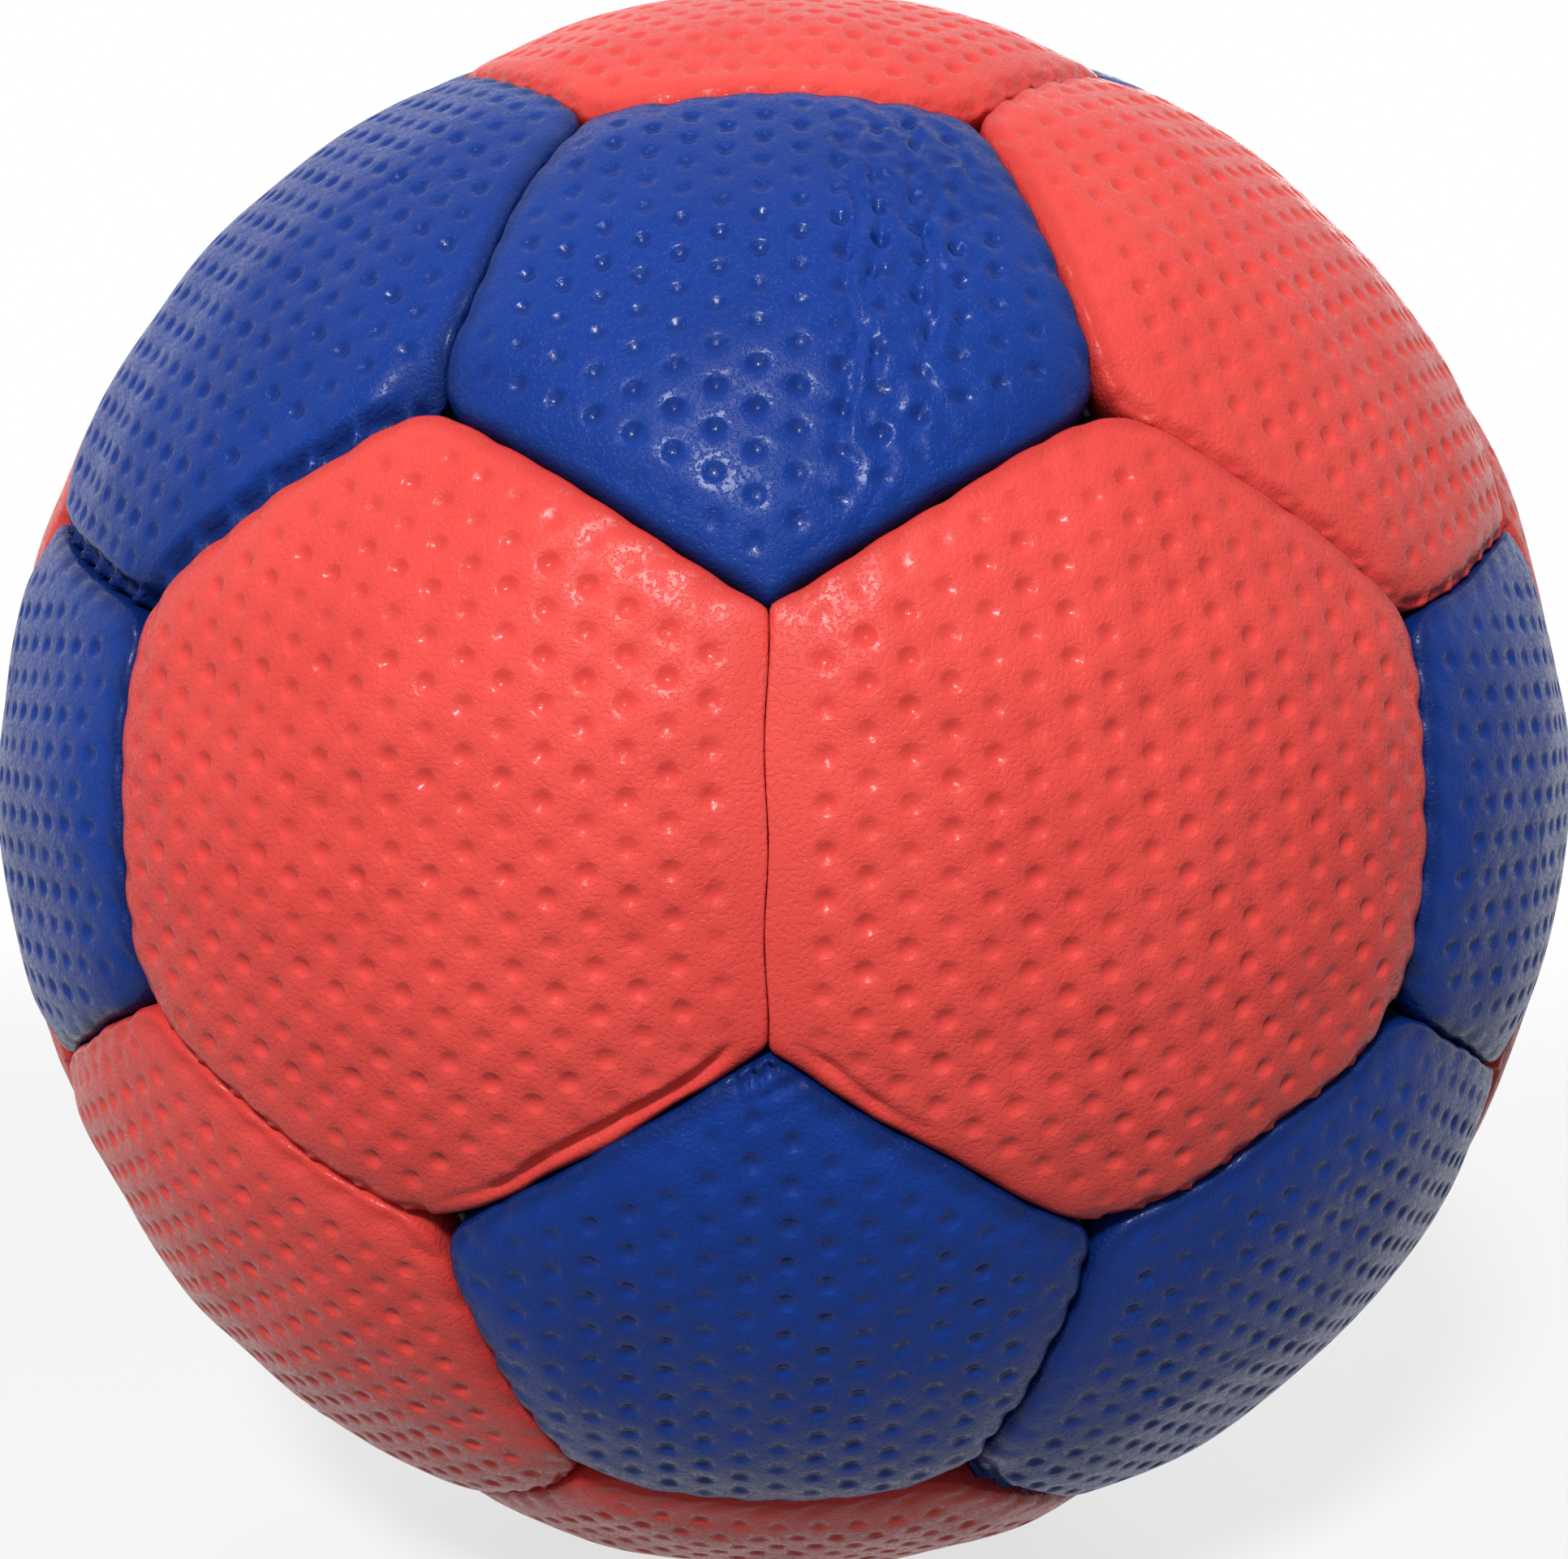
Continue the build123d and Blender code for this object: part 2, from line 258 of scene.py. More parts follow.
# %% [markdown]
# ## Where the panels lie
# Twelve five-sided and twenty six-sided panels close into a ball: a football's pattern, with all
# edges alike. The five-sided ones face the twelve corners of an icosahedron and the six-sided ones
# face its sides. Each panel gets axes of its own: one out of the ball and one towards a corner.
# Points on a panel are then pairs of millimetres along the cover, measured from the panel's middle.

# %% Axes of the panels
ball = 88.0  # radius over the crowns
golden = (1 + sqrt(5)) / 2
next_door = 2.1  # the axes of neighbours are nearer than this


def unit(vector):
    return np.asarray(vector, float) / np.linalg.norm(vector)


def turned(a, b, c):
    """A direction and the two others that its numbers make in turn."""
    return [np.array(numbers, float) for numbers in ((a, b, c), (c, a, b), (b, c, a))]


def neighbours(*axes):
    return all(np.linalg.norm(p - q) < next_door for p, q in combinations(axes, 2))


five_axes = [axis for s in (1, -1) for t in (1, -1) for axis in turned(0, s * golden, t)]
corner_of = {}  # a panel's direction, and that of one of its corners
for axis in five_axes:
    twin = np.where(np.abs(axis) == 1, -axis, axis)
    corner_of[tuple(unit(axis))] = unit(2 * axis + twin)
for a, b, c in combinations(five_axes, 3):
    if neighbours(a, b, c):
        corner_of[tuple(unit(a + b + c))] = unit(2 * a + b)
print(f"{len(corner_of)} panels")

# %% [markdown]
# ## A panel's outline
# The thread pulls each edge inward at every stitch, rounds the corners and rolls the edge down
# into the seam. A scan or a cloth simulation could give this, but then nobody could adjust it.
# Here a panel knows the distance from any of its points to the seam, and everything else follows
# from it: the roll of the edge, the puckers at the stitches, and where the dimples fade out.

# %% The chances of hand work
stitches = 7  # on each seam
stitch_pitch = 4.8
stitch_width = 1.15
stitch_astray = 0.5
seam_wander = 0.3


def smooth(value, low, high):
    """0 below low, 1 above high, and smooth between them."""
    t = np.clip((value - low) / (high - low), 0, 1)
    return t * t * (3 - 2 * t)


def sway(direction, seed):
    """A number from -1 to 1 that differs over the ball, the same on both sides of a seam."""
    x, y, z = direction
    return sin(17.3 * x + 3.1 * seed) * cos(13.7 * y - 1.7 * seed + 11.9 * z)


def wander(directions):
    """How far a seam wanders from its true line at directions from the ball's centre."""
    x, y, z = np.asarray(directions).T
    return seam_wander * np.sin(29 * x + 17 * z + 1.3) * np.cos(23 * y - 19 * z + 0.4)


def stitch_places(middle, run):
    """Where the stitches lie along a seam, the same for both of its panels."""
    even = (np.arange(stitches) - (stitches - 1) / 2) * stitch_pitch
    astray = stitch_astray * np.array([sway(middle, 10 + number) for number in range(stitches)])
    onward = np.dot(run, (0.31, 0.57, 0.76)) > 0
    return even + (astray if onward else -astray[::-1])


print(f"{stitches} stitches on a seam, {stitch_pitch} mm apart")

# %% Tight seams and rounded corners
front_roll, upper_right_roll, upper_left_roll = 0.1, 0.95, 0.75
usual_roll, roll_spread = 1.35, 0.35
sharp_corner = 1.0
usual_corner = {5: 5.0, 6: 7.0}  # for a panel of so many sides
corner_spread = 0.3


def seam_roll(middle):
    """How far an edge rolls into a seam. The front seam is sewn tightest."""
    x, y, z = middle
    if y < -0.99:
        return front_roll
    if x > 0.2 and y < -0.5 and z > 0.2:
        return upper_right_roll
    if x < -0.2 and y < -0.5 and z > 0.4:
        return upper_left_roll
    return usual_roll + roll_spread * sway(middle, 1)


def corner_rounding(corner, sides):
    """Radius of a panel's corner. The tips that meet the tight front seam are sharp."""
    if corner[1] < -0.9 and abs(corner[0]) < 0.05:
        return sharp_corner
    return usual_corner[sides] * (1 + corner_spread * sway(corner, 2))


def rounded(near, next_near, rounding, bend):
    """Distance inside a rounded outline, from those to its two nearest sides."""
    e1, e2 = rounding - near, rounding - next_near
    joint = np.sqrt(np.maximum(e1**2 + e2**2 - 2 * e1 * e2 * cos(bend), 0)) / sin(bend)
    return rounding - np.where((e1 > 0) & (e2 > e1 * cos(bend)), joint, e1)


print(f"edges roll by {usual_roll} mm, and by {front_roll} mm at the front seam")

# %% [markdown]
# ## One sewn panel
# An edge that hangs below its panel's middle is pushed out by the foam above it: the cover gathers
# there, and the stitches leave ridges between small pockets. An edge that lifts stays flat, and
# corners sink into a pit. Sculpting by hand would take long, but rules for hanging and lifting
# edges dress all 32 panels at once.

# %% Measures of the sewing
corner_ratio = sqrt(58 + 18 * sqrt(5)) / 4  # the ball's centre to a corner, for an edge of 1
crown_drop = 1.2  # how far a panel's crown falls below the ball at its corners
level_band = 0.1  # edges within it neither hang nor lift
firm_roll = 1.2  # rolls below it are pulled tight
lift_share, level_share = 0.5, 0.75  # of the roll
hung_roll = 0.45  # of a hanging six-sided edge
slack = {"blue_pentagon": 0.15, "blue_hexagon": 2.2, "red_hexagon": 0.7}
junction_pit = {"blue_pentagon": 1.9, "blue_hexagon": 3.0, "red_hexagon": 0.9}
shallow_pit = 0.3
hung_dent, other_dent = {5: 0.2, 6: 0.5}, 0.35
hung_pocket, level_pocket = 0.2, 0.35
all_along = 90.0  # longer than any seam
left_tuck, right_tuck = (1.3, 30.0), (0.7, 15.0)  # depth, and reach from the front seam
tucked_edge, tucked_roll = 0.1, 0.9
tip_crumple, crumple_waves = 0.36, ((3.1, 1.4), (-1.6, 3.7), (0.8, -4.6))
sewing_gap = 0.03  # left open on each side of a seam
stitch_slant = 0.6  # puckers lean as they run inward
pucker_fade = 2.0
seam_blend = 1.2
ridge_width, pocket_slope = 0.6, 1.1
dent_middle, dent_width = 0.9, 1.15
tuck_end = 18  # from the middle of a seam
hem, hem_sway, hem_width = 1.7, 0.3, 0.5
pit_spread = 13.0  # square millimetres
beyond, halvings = 45.0, 26  # for outlines: further out than any corner, and rounds
print(f"a corner lies {corner_ratio:.3f} edges from the ball's centre")


# %% The panel's class
class Panel:
    """One sewn panel: its place, its seams and the chances of hand work."""

    def __init__(self, name, number):
        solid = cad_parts[name].data.vertices
        points = np.empty(3 * len(solid), np.float32)
        solid.foreach_get("co", points)
        middle = unit(points.reshape(-1, 3).mean(0))
        axis = max(corner_of, key=lambda direction: np.dot(direction, middle))
        self.name = name
        self.kind = name.split("_panel_")[0]
        self.sides = 5 if "pentagon" in name else 6
        self.out = np.array(axis)
        self.across = unit(corner_of[axis] - self.out * np.dot(corner_of[axis], self.out))
        self.along = np.cross(self.out, self.across)
        self.chance = np.random.default_rng(100 + number)
        self.hole = 0.0
        self.crinkled = np.dot(self.out, unit((0, -golden, 1))) > 0.999
        self.place_seams()
        self.sew_sides()
        self.sew_corners()

    def to_ball(self, local):
        return np.asarray(local) @ np.stack([self.across, self.along, self.out])

    def directions(self, spots):
        """Directions, in the panel's axes, of spots in millimetres along the cover."""
        reach = np.hypot(spots[:, 0], spots[:, 1])
        turn = np.arctan2(spots[:, 1], spots[:, 0])
        lean = reach / ball
        return np.stack([np.sin(lean) * np.cos(turn), np.sin(lean) * np.sin(turn), np.cos(lean)], 1)

    def place_seams(self):
        """Planes, middles and runs of the seams, and the corners between them."""
        sides = self.sides
        reach = 1 / (2 * sin(pi / sides))  # of a corner from the panel's axis
        self.tilt = atan(reach * cos(pi / sides) / sqrt(corner_ratio**2 - reach**2))
        corner_height = sqrt(1 - (reach / corner_ratio) ** 2)
        low = ball - crown_drop
        self.rise = (ball**2 - low**2) / (2 * (ball - low * corner_height))
        turns = (np.arange(sides) + 0.5) * 2 * pi / sides
        c, s, flat = np.cos(turns), np.sin(turns), np.zeros(sides)
        ct, st = cos(self.tilt), sin(self.tilt)
        self.seam_normal = np.stack([c * ct, s * ct, flat - st], 1)
        self.seam_middle = np.stack([c * st, s * st, flat + ct], 1)
        self.seam_run = np.stack([-s, c, flat], 1)
        self.middles = self.to_ball(self.seam_middle)
        corner_turns = np.arange(sides) * 2 * pi / sides
        ring = np.stack([np.cos(corner_turns), np.sin(corner_turns)], 1)
        lean = asin(reach / corner_ratio)
        self.corner_spots = lean * ball * ring
        self.corners = self.to_ball(np.column_stack([ring * sin(lean), np.full(sides, cos(lean))]))

    def sew_sides(self):
        """How tight, loose and uneven each side is sewn."""
        sides, middles = self.sides, self.middles
        hangs = self.out[2] > middles[:, 2] + level_band
        lifts = self.out[2] < middles[:, 2] - level_band
        self.roll = np.array([seam_roll(middle) for middle in middles])
        tight = np.minimum(self.roll / firm_roll, 1)
        self.roll *= np.where(hangs, 1.0, np.where(lifts, lift_share, level_share))
        self.pull = self.chance.uniform(0.35, 1.0, (sides, stitches))
        runs = self.to_ball(self.seam_run)
        self.stitch = np.array([stitch_places(*seam) for seam in zip(middles, runs)])
        self.wander_side = np.sign((self.out - middles) @ np.array([0.83, 0.21, 0.52]))
        uneven = self.chance.uniform(0.7, 1.15, sides)
        self.gather = np.where(hangs, slack[self.kind], 0.0) * uneven
        if sides == 6:
            self.roll = np.where(hangs, hung_roll, self.roll)
        self.pocket = np.where(hangs | lifts, hung_pocket, level_pocket) * tight * uneven
        self.dent = np.where(hangs, hung_dent[sides], other_dent) * tight * uneven
        self.tuck = np.where(hangs, self.chance.uniform(0.0, 0.2, sides), 0)
        self.tuck_reach = np.full(sides, all_along)
        low_front = (middles[:, 1] < -0.9) & (middles[:, 2] < -0.25)
        if sides == 6 and low_front.any():
            depth, reach = left_tuck if self.out[0] < 0 else right_tuck
            self.tuck[low_front], self.tuck_reach[low_front] = depth, reach
            for sewn in (self.gather, self.pocket, self.dent):
                sewn[low_front] = tucked_edge
            self.roll[low_front] = tucked_roll

    def sew_corners(self):
        """How round each corner is, how deep it sinks, and where it crumples."""
        above = self.out[2] > self.corners[:, 2] + level_band
        self.corner_round = np.array([corner_rounding(corner, self.sides) for corner in self.corners])
        sharp = self.corner_round == sharp_corner
        depth = np.where(above, junction_pit[self.kind], shallow_pit)
        self.pit = depth * self.chance.uniform(0.6, 1.1, self.sides)
        self.pit[sharp] = 0
        self.crumple = np.where(sharp & ~above & (self.sides == 5), tip_crumple, 0.0)

    def at_seams(self, spots):
        """How spots lie to the nearest seam, corner and stitches."""
        rays = self.directions(spots)
        on_ball = self.to_ball(rays)
        away = ball * np.arcsin(np.clip(-rays @ self.seam_normal.T, -1, 1))
        away = away + self.wander_side * wander(on_ball)[:, None]
        run = ball * np.arctan2(rays @ self.seam_run.T, rays @ self.seam_middle.T)
        rows = np.arange(len(spots))
        side, second = np.argsort(away, 1)[:, :2].T
        turn = np.arctan2(spots[:, 1], spots[:, 0])
        corner = np.rint(turn * self.sides / (2 * pi)).astype(int) % self.sides
        rounding, bend = self.corner_round[corner], 2 * pi / self.sides
        inside = rounded(away[rows, side], away[rows, second], rounding, bend)
        slant = stitch_slant * np.maximum(inside, 0)[:, None]
        along = run[rows, side]
        gap = (along[:, None] - self.stitch[side] - slant) / stitch_width
        pull = (self.pull[side] * np.exp(-(gap**2))).sum(1)
        fade = np.exp(-np.maximum(inside, 0) / pucker_fade)
        return SimpleNamespace(
            inside=inside - sewing_gap - self.pocket[side] * pull * fade,
            side=side, corner=corner, along=along, gap=gap, pull=pull, away=away,
            from_front_seam=np.abs(on_ball[:, 0]) * ball,
        )

    def seam_distance(self, spots):
        """Distance of spots to the sewn outline."""
        return self.at_seams(spots).inside

    def seam_fall(self, spots, at):
        """How far the cover falls near the seams, the width of its roll, and its slump, which with the
        corner pits is also a mask for painted shade.
        """
        weight = np.exp(-np.maximum(at.away - at.away.min(1, keepdims=True), 0) / seam_blend)
        weight = weight / weight.sum(1, keepdims=True)
        roll = (weight * self.roll).sum(1)
        ridge = np.minimum(np.exp(-((at.gap * stitch_width / ridge_width) ** 2)).sum(1), 1)
        deep = self.gather[at.side]
        brim = 1.0 + 0.9 * deep + 0.3 * at.pull
        slope = 1 - smooth(at.inside, brim - pocket_slope, brim)
        slump = deep * (1 - 0.85 * ridge) * slope
        reach = self.tuck_reach[at.side]
        ends = smooth(tuck_end - np.abs(at.along), 0.5, 5)
        tuck = self.tuck[at.side] * (0.75 + 0.25 * at.pull) * ends
        tuck = tuck * (1 - smooth(at.from_front_seam, 0.55 * reach, reach))
        dent = np.exp(-(((at.inside - dent_middle) / dent_width) ** 2))
        fall = slump + self.dent[at.side] * at.pull * dent
        hem_line = hem + hem_sway * np.sin(0.4 * at.along + 1)
        fall = fall + tuck * np.exp(-(((at.inside - hem_line) / hem_width) ** 2))
        gone = spots - self.corner_spots[at.corner]
        near = np.exp(-(gone**2).sum(1) / pit_spread)
        fall = fall + self.pit[at.corner] * near
        # the corner pits join the slump only as a mask for painted shade
        slump = slump + 0.5 * self.pit[at.corner] * near
        creased = sum(np.sin(gone @ wave + start) for start, wave in enumerate(crumple_waves))
        fall = fall + self.crumple[at.corner] * creased * near
        return fall, roll, slump

    def outline(self, inset, count):
        """Spots at one distance from the outline, found by halving along rays from the middle."""
        turns = np.arange(count) * 2 * pi / count
        rays = np.stack([np.cos(turns), np.sin(turns)], 1)
        near, far = np.zeros(count), np.full(count, beyond)
        for _ in range(halvings):
            middle = (near + far) / 2
            within = self.seam_distance(rays * middle[:, None]) > inset
            near, far = np.where(within, middle, near), np.where(within, far, middle)
        return rays * near[:, None]


# %% All panels
valve_hole = 4.75

node_names = sorted(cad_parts)
panels = [Panel(name, number) for number, name in enumerate(node_names) if "_panel_" in name]
valve_axis = unit(sum(np.array(corner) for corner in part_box("valve_core")))
for panel in panels:
    if np.dot(panel.out, valve_axis) > 0.999:
        panel.hole = valve_hole
        print(f"the valve is in {panel.name}")
print(f"{len(panels)} panels, seams at {degrees(panels[0].tilt):.2f} degrees")

# %% [markdown]
# ## A panel's surface
# Under the cover is soft foam, so a panel is a low cushion: it is highest in its middle, falls
# gently towards the seams and then rolls over. Round dimples are pressed into it on a triangular
# grid. A displacement picture could show this, but each panel would need its own. So the height of
# each spot is worked out from the crown, the roll, the stitches, slow waves and its dimple.

# %% Dimples
dimple_pitch = 3.8
dimple_radius = 0.98
dimple_depth = 0.43
dimple_turn = 2.5  # degrees at most


class Grid:
    """The dimples of one panel, on a triangular grid that is turned and shifted by chance."""

    def __init__(self, panel):
        turn = radians(panel.chance.uniform(-dimple_turn, dimple_turn))
        c, s = cos(turn), sin(turn)
        slanted = [c / 2 - s * sqrt(3) / 2, s / 2 + c * sqrt(3) / 2]
        self.steps = dimple_pitch * np.array([[c, s], slanted])
        self.shift = panel.chance.uniform(-0.5, 0.5, 2) @ self.steps

    def centres(self, spots):
        """The nearest dimple's centre for each spot, and the distance to it."""
        base = np.floor((spots - self.shift) @ np.linalg.inv(self.steps))
        near = [(base + step) @ self.steps + self.shift for step in ((0, 0), (0, 1), (1, 0), (1, 1))]
        gaps = np.array([((spots - centre) ** 2).sum(1) for centre in near])
        best, rows = gaps.argmin(0), np.arange(len(spots))
        return np.array(near)[best, rows], np.sqrt(gaps[best, rows])

    def all_centres(self, reach):
        steps = int(reach / dimple_pitch * 1.3)
        i, j = np.mgrid[-steps : steps + 1, -steps : steps + 1]
        return np.stack([i.ravel(), j.ravel()], 1) @ self.steps + self.shift


def dimple_share(panel, spots):
    """How deep a dimple is pressed: none near a seam or the valve, fully in the middle."""
    share = smooth(panel.seam_distance(spots), 1.6, 4.4)
    share = share * (0.8 + 0.2 * np.sin(12.9898 * spots[:, 0] + 78.233 * spots[:, 1]))
    if panel.hole:
        share = share * smooth(np.hypot(spots[:, 0], spots[:, 1]) - panel.hole, 1.2, 3.0)
    return share


print(f"dimples {2 * dimple_radius} mm wide, {dimple_pitch} mm apart, {dimple_depth} mm deep")

# %% Waves and creases
wave_count, wave_height = 5, 0.0045  # height for each millimetre of a wave's length
crease_count, crease_depth = 2, 0.1
crease_width, fold_middle, fold_width, fold_share = 0.45, 0.9, 0.6, 0.6
crease_sway, crease_bends = 0.5, 0.45
front_creases = [  # start, direction in degrees, length and depth
    ((-22, 5.2), 2, 24, 0.2),
    ((-21, 7.2), -1, 40, 0.32),
    ((-14, 9.3), -3, 28, 0.32),
    ((-23, 11.6), 3, 34, 0.28),
    ((-12, 14.0), -2, 22, 0.26),
    ((-18, 17.0), 2, 18, 0.18),
]


def waves_of(panel):
    """Slow waves of hand work over a panel: directions, starts and heights."""
    turn = panel.chance.uniform(0, 2 * pi, wave_count)
    length = panel.chance.uniform(9, 24, wave_count)
    start = panel.chance.uniform(0, 2 * pi, wave_count)
    directions = np.stack([np.cos(turn), np.sin(turn)], 1) * (2 * pi / length)[:, None]
    return directions, start, length * wave_height


def creases_of(panel):
    """Fine creases that handling leaves. The top front panel has most."""
    if panel.crinkled:
        return front_creases
    any_of = panel.chance.uniform
    return [
        (tuple(any_of(-14, 14, 2)), any_of(0, 360), any_of(8, 16), crease_depth)
        for _ in range(crease_count)
    ]


def crease_axes(crease):
    """Where a crease starts, and the directions along it and to its side."""
    start, turn, _, _ = crease
    run = np.array([cos(radians(turn)), sin(radians(turn))])
    return start, run, np.array([-run[1], run[0]])


def crease_bend(start, along):
    return crease_sway * np.sin(along * crease_bends + start[1])


def crease_depths(crease, spots):
    """How deep a crease is at spots. Beside it stands a raised fold."""
    start, run, side = crease_axes(crease)
    along = (spots - start) @ run
    aside = (spots - start) @ side - crease_bend(start, along)
    ends = smooth(along, 0, 4) * (1 - smooth(along, crease[2] - 4, crease[2]))
    fold = np.exp(-(((aside - fold_middle) / fold_width) ** 2))
    return crease[3] * ends * (np.exp(-((aside / crease_width) ** 2)) - fold_share * fold)


def crease_spots(crease):
    """Points along a crease and on both sides of it."""
    start, run, side = crease_axes(crease)
    along = np.arange(0, crease[2], 0.7)
    middle = start + along[:, None] * run + crease_bend(start, along)[:, None] * side
    return np.concatenate([middle + step * side for step in (-0.9, -0.45, 0.0, 0.45, 0.9)])


for panel in panels:
    panel.grid = Grid(panel)
    panel.waves = waves_of(panel)
    panel.creases = creases_of(panel)
print(f"{sum(len(panel.creases) for panel in panels)} creases")

# %% Height of the cover
valve_rim = 0.8  # rounding of the hole's edge
dimple_bowl = 1.1  # larger is more pointed
deepest, edge_deeper, soft_floor = 2.0, 1.6, 0.09  # keep the cover above its folds
crinkle_height = 0.1


def crown_radius(panel, spots, drop=0.0):
    """Distance from the ball's centre to a panel's smooth crown, or to a layer below it."""
    lean = np.hypot(spots[:, 0], spots[:, 1]) / ball
    crown = ball - panel.rise - drop
    return panel.rise * np.cos(lean) + np.sqrt(crown**2 - (panel.rise * np.sin(lean)) ** 2)


def quarter_round(distance, radius):
    """How far a rounded edge lies below its top at a distance from its end."""
    return radius * (1 - np.sqrt(1 - np.clip(1 - distance / radius, 0, 1) ** 2))


def crinkles(spots, inside):
    """The crumpled band on the right of the top front panel."""
    u, v = spots.T
    band = smooth(v, 3, 7) * (1 - smooth(v, 16, 21)) * smooth(inside, 1, 4)
    puckers = np.sin(1.5 * u + 0.6 * v) * np.sin(1.7 * v - 0.4 * u) + np.sin(0.9 * u - 1.9 * v)
    fine = 0.7 * np.sin(2.3 * u + 0.9 * v + 1) * np.sin(2.5 * v - 0.8 * u)
    puckers += fine + 0.5 * np.sin(2.9 * v + 0.5 * u)
    return crinkle_height * band * puckers


def cover_radius(panel, spots):
    """Distance from the ball's centre to the cover, and marks for painted shade and for the gloss of
    the dimples.
    """
    at = panel.at_seams(spots)
    fall, roll, slump = panel.seam_fall(spots, at)
    inside = np.maximum(at.inside, 0)
    radius = crown_radius(panel, spots)
    lowest = radius - deepest - edge_deeper * (1 - smooth(inside, 0.6, 1.9))
    radius -= quarter_round(inside, roll)
    radius -= (0.25 + 0.4 * roll) * np.exp(-inside / 3.2)
    radius -= fall
    directions, start, height = panel.waves
    waves = (np.sin(spots @ directions.T + start) * height).sum(1)
    radius += waves * smooth(inside, 1.0, 6.0)
    centre, gap = panel.grid.centres(spots)
    share = dimple_share(panel, centre)
    well = share * np.maximum(1 - (gap / dimple_radius) ** 2, 0) ** dimple_bowl
    pressed = share * (1 - smooth(gap / dimple_radius, 0.8, 1.15))
    radius -= dimple_depth * well
    for crease in panel.creases:
        radius -= crease_depths(crease, spots) * smooth(inside, 0.5, 3.0)
    if panel.crinkled:
        radius += crinkles(spots, inside)
    if panel.hole:
        rim = np.maximum(np.hypot(spots[:, 0], spots[:, 1]) - panel.hole, 0)
        radius -= quarter_round(rim, valve_rim)
    over = radius - lowest
    radius = lowest + (over + np.sqrt(over**2 + soft_floor)) / 2
    # marks for painted shade: the hollows of dimples, pockets and corner pits, and the distance to a
    # seam, made larger where the seam is sewn tight so that it is painted less dark there
    hollow = np.maximum(well, np.clip(slump / 1.1, 0, 1.8))
    seam_shade_distance = inside + 1.7 * (1 - smooth(roll, 0.1, 0.6))
    return radius, {"seam_distance": seam_shade_distance, "hollow": hollow, "pressed": pressed}


middle_height = cover_radius(panels[0], np.zeros((1, 2)))[0][0]
print(f"the middle of {panels[0].name} lies at {middle_height:.2f} mm")

# %% [markdown]
# ## The mesh of a panel
# An even grid fine enough for the dimples would be very heavy. So points are put only where the
# surface bends: rings along the outline, rings round every dimple, and a loose scatter between
# them. Blender's own triangulator joins them. Below the seam the edge turns down, as the sewn fold
# does, and the panel closes over a hollow where the backing cloth is glued in.

# %% Where the points go
outline_points = 420
edge_rings = (0.0, 0.1, 0.25, 0.45, 0.7, 1.0, 1.4, 1.8, 2.2, 2.6, 3.0, 3.5, 4.0)
rim_rings = (0.0, 0.06, 0.16, 0.32, 0.55, 0.85, 1.3)
dimple_rings = ((0.3, 6), (0.6, 10), (0.85, 12), (1.08, 12))  # share of the radius, and points
panel_reach = 38
loose_space, crinkled_space = 1.05, 0.7


def circle(radius, count, turn=0.0):
    turns = (np.arange(count) + turn) * 2 * pi / count
    return radius * np.stack([np.cos(turns), np.sin(turns)], 1)


def further_in(panel, spots, room):
    """The spots that lie further in than the edge rings, by some room."""
    return spots[panel.seam_distance(spots) > edge_rings[-1] + room]


def dimple_spots(panel):
    """The middles of the dimples and rings of points round them."""
    dimples = panel.grid.all_centres(panel_reach)
    dimples = dimples[panel.seam_distance(dimples) > 1.5]
    dimples = dimples[dimple_share(panel, dimples) > 0.03]
    wells = [dimples]
    for share, count in dimple_rings:
        ring = circle(dimple_radius * share, count, turn=share)
        wells.append((dimples[:, None] + ring[None]).reshape(-1, 2))
    return further_in(panel, np.concatenate(wells), 0.25)


def loose_spots(panel):
    """A jittered grid of points outside the dimples."""
    space = crinkled_space if panel.crinkled else loose_space
    line = slice(-panel_reach, panel_reach, space)
    loose = np.mgrid[line, line].reshape(2, -1).T
    loose = loose + panel.chance.uniform(-space / 4, space / 4, loose.shape)
    loose = further_in(panel, loose, 0.5)
    return loose[panel.grid.centres(loose)[1] > dimple_radius * 1.3]


def cover_spots(panel):
    """All points of a panel's outer face. Outline and valve's rim come first."""
    rings = [panel.outline(inset, outline_points) for inset in edge_rings]
    rims = [circle(panel.hole + step, outline_points) for step in rim_rings] if panel.hole else []
    wells, loose = dimple_spots(panel), loose_spots(panel)
    folds = np.concatenate([crease_spots(crease) for crease in panel.creases])
    folds = further_in(panel, folds, 0.3)
    folds = folds[panel.grid.centres(folds)[1] > dimple_radius * 1.15]
    inner = np.concatenate([wells, loose, folds])
    if panel.hole:
        inner = inner[np.hypot(inner[:, 0], inner[:, 1]) > panel.hole + rim_rings[-1] + 0.25]
    return np.concatenate(rings[:1] + rims[:1] + rings[1:] + rims[1:] + [inner])


print(f"{outline_points} points along an outline, in {len(edge_rings)} rings")

# %% Faces of a panel
cover_thickness = 2.6
fold_rings = ((0.1, 83.4), (0.55, 82.7), (0.55, 80.95), (1.9, 80.95))  # inset and radius
fold_clear = 0.15  # each fold ring lies at least so much deeper than the edge
pocket_rings = (2.1, 5.0, 12.0, 22.0)
pattern_size, hidden_size, hidden_place = 92, 900, 0.06  # of the outer face and the inner one
fold_spread = 0.012  # between the folds' rings in the flat pattern


def ring_faces(first, second, count):
    """Faces of a band between two rings of points, with the first ring on the right."""
    here = np.arange(count)
    after = (here + 1) % count
    return np.concatenate([
        np.stack([first + here, second + here, second + after], 1),
        np.stack([first + here, second + after, first + after], 1),
    ])


def fan(centre, first, count, inward=False):
    """Faces that close a ring of points with one point in its middle."""
    here = np.arange(count)
    ring = [first + here, first + (here + 1) % count]
    return np.stack([np.full(count, centre)] + (ring[::-1] if inward else ring), 1)


